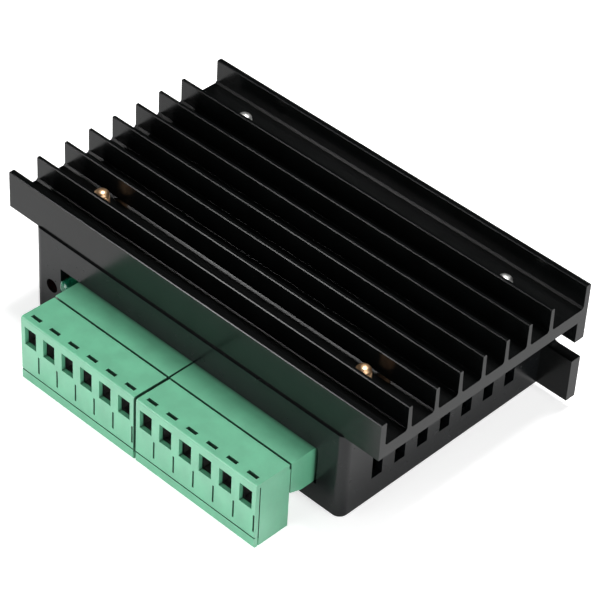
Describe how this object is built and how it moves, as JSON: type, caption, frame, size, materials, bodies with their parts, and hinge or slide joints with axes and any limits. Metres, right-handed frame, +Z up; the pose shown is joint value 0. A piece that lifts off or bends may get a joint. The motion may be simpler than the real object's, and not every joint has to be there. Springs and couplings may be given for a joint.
{
  "type": "stepper motor driver",
  "caption": "Stepper motor driver with a finned black heatsink over a moulded cover, green pluggable screw terminals and open mounting slots in the back wall.",
  "frame": {"origin": "middle of the whole outline in X and Y, at the height of the plugs' bottoms", "axes": "+X along the fins to the right, +Y from the terminals to the back wall, +Z up through the fins"},
  "size_m": [0.096, 0.071, 0.0298],
  "materials": {
    "black_anodised": "black anodised, satin",
    "black_moulding": "moulded, semi-gloss",
    "board_green": "green solder mask",
    "brass": "bright",
    "steel": "zinc plated",
    "spacer_metal": "turned",
    "lens_green": "clear tinted",
    "lens_red": "clear tinted",
    "tinned": "tinned",
    "plated_clamp": "nickel plated",
    "terminal_green": "moulded, fine satin",
    "switch_red": "moulded",
    "black_resin": "moulded resin",
    "soft_pad": "soft silicone",
    "can_metal": "drawn can",
    "resistor_body": "coated",
    "knob_white": "moulded"
  },
  "bodies": {
    "housing": {"heatsink": "black_anodised", "cover": "black_moulding", "brass_standoffs": "brass", "board_screws": "steel", "cover_screws": "steel", "board_spacers": "spacer_metal", "header_left": "terminal_green", "header_left_pins": "tinned", "plug_left_body": "terminal_green", "plug_left_front": "terminal_green", "plug_left_clamps": "plated_clamp", "plug_left_contacts": "tinned", "plug_left_screws": "steel", "header_right": "terminal_green", "header_right_pins": "tinned", "plug_right_body": "terminal_green", "plug_right_front": "terminal_green", "plug_right_clamps": "plated_clamp", "plug_right_contacts": "tinned", "plug_right_screws": "steel", "power_indicator": "lens_green", "alarm_indicator": "lens_red", "indicator_leads": "tinned", "switch_body": "switch_red", "switch_base": "black_resin", "switch_leads": "tinned", "circuit_board": "board_green", "driver_chip": "black_resin", "thermal_pad": "soft_pad", "driver_leads": "tinned", "capacitor": "can_metal", "sense_resistors": "resistor_body", "controller_chip": "black_resin", "signal_isolators": "black_resin"},
    "switch_1": {"switch_slider_1": "knob_white"},
    "switch_2": {"switch_slider_2": "knob_white"},
    "switch_3": {"switch_slider_3": "knob_white"},
    "switch_4": {"switch_slider_4": "knob_white"},
    "switch_5": {"switch_slider_5": "knob_white"},
    "switch_6": {"switch_slider_6": "knob_white"}
  },
  "joints": [
    {"name": "switch_1_slide", "type": "slide", "parent": "housing", "child": "switch_1", "axis": [0, 1, 0], "range_m": [0, 0.0016]},
    {"name": "switch_2_slide", "type": "slide", "parent": "housing", "child": "switch_2", "axis": [0, 1, 0], "range_m": [0, 0.0016]},
    {"name": "switch_3_slide", "type": "slide", "parent": "housing", "child": "switch_3", "axis": [0, 1, 0], "range_m": [0, 0.0016]},
    {"name": "switch_4_slide", "type": "slide", "parent": "housing", "child": "switch_4", "axis": [0, 1, 0], "range_m": [0, 0.0016]},
    {"name": "switch_5_slide", "type": "slide", "parent": "housing", "child": "switch_5", "axis": [0, 1, 0], "range_m": [0, 0.0016]},
    {"name": "switch_6_slide", "type": "slide", "parent": "housing", "child": "switch_6", "axis": [0, 1, 0], "range_m": [0, 0.0016]}
  ]
}
